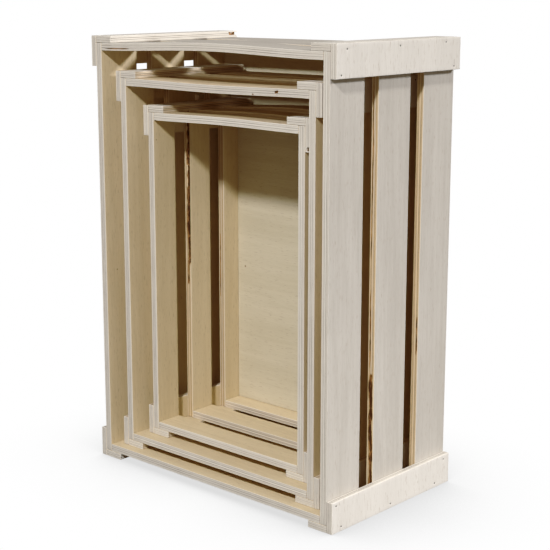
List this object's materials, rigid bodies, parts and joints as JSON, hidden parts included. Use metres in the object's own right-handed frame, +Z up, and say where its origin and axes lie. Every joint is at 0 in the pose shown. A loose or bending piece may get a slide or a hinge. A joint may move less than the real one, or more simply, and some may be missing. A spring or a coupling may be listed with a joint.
{
  "type": "nested slatted crates",
  "caption": "Set of open slatted plywood crates nested in each other, standing on a short end. Each has three-slat walls, a back panel and corner battens, and slides out of the next.",
  "frame": {"origin": "middle of the outer crate's footprint as it stands on its short end, at the level of the surface under it", "axes": "+Z up along the crates' length, +X across their width to the viewer's right when looking in, +Y from the open side to the back panel"},
  "size_m": [0.3336, 0.193, 0.4646],
  "materials": {
    "slat": "raw sanded poplar plywood, with open ply layers on the edges",
    "panel": "raw sanded poplar plywood",
    "batten": "raw sanded poplar plywood, a little paler than the slats",
    "nail": "dull wire brads, set just below the wood"
  },
  "bodies": {
    "outer_crate": {"outer_left_slat_front": "slat", "outer_right_slat_front": "slat", "outer_bottom_slat_front": "slat", "outer_top_slat_front": "slat", "outer_left_slat_centre": "slat", "outer_right_slat_centre": "slat", "outer_bottom_slat_centre": "slat", "outer_top_slat_centre": "slat", "outer_left_slat_back": "slat", "outer_right_slat_back": "slat", "outer_bottom_slat_back": "slat", "outer_top_slat_back": "slat", "outer_back_panel": "panel", "outer_side_batten_bottom_left": "batten", "outer_end_batten_bottom_left": "batten", "outer_side_batten_bottom_right": "batten", "outer_end_batten_bottom_right": "batten", "outer_side_batten_top_left": "batten", "outer_end_batten_top_left": "batten", "outer_side_batten_top_right": "batten", "outer_end_batten_top_right": "batten"},
    "middle_crate": {"middle_left_slat_front": "slat", "middle_right_slat_front": "slat", "middle_bottom_slat_front": "slat", "middle_top_slat_front": "slat", "middle_left_slat_centre": "slat", "middle_right_slat_centre": "slat", "middle_bottom_slat_centre": "slat", "middle_top_slat_centre": "slat", "middle_left_slat_back": "slat", "middle_right_slat_back": "slat", "middle_bottom_slat_back": "slat", "middle_top_slat_back": "slat", "middle_back_panel": "panel", "middle_side_batten_bottom_left": "batten", "middle_end_batten_bottom_left": "batten", "middle_side_batten_bottom_right": "batten", "middle_end_batten_bottom_right": "batten", "middle_side_batten_top_left": "batten", "middle_end_batten_top_left": "batten", "middle_side_batten_top_right": "batten", "middle_end_batten_top_right": "batten"},
    "inner_crate": {"inner_left_slat_front": "slat", "inner_right_slat_front": "slat", "inner_bottom_slat_front": "slat", "inner_top_slat_front": "slat", "inner_left_slat_centre": "slat", "inner_right_slat_centre": "slat", "inner_bottom_slat_centre": "slat", "inner_top_slat_centre": "slat", "inner_left_slat_back": "slat", "inner_right_slat_back": "slat", "inner_bottom_slat_back": "slat", "inner_top_slat_back": "slat", "inner_back_panel": "panel", "inner_corner_batten_bottom_left": "batten", "inner_corner_batten_bottom_right": "batten", "inner_corner_batten_top_left": "batten", "inner_corner_batten_top_right": "batten"}
  },
  "joints": [
    {"name": "middle_crate_slide", "type": "slide", "parent": "outer_crate", "child": "middle_crate", "axis": [0, -1, 0], "range_m": [-0.009, 0.18]},
    {"name": "inner_crate_slide", "type": "slide", "parent": "middle_crate", "child": "inner_crate", "axis": [0, -1, 0], "range_m": [-0.006, 0.155]}
  ]
}
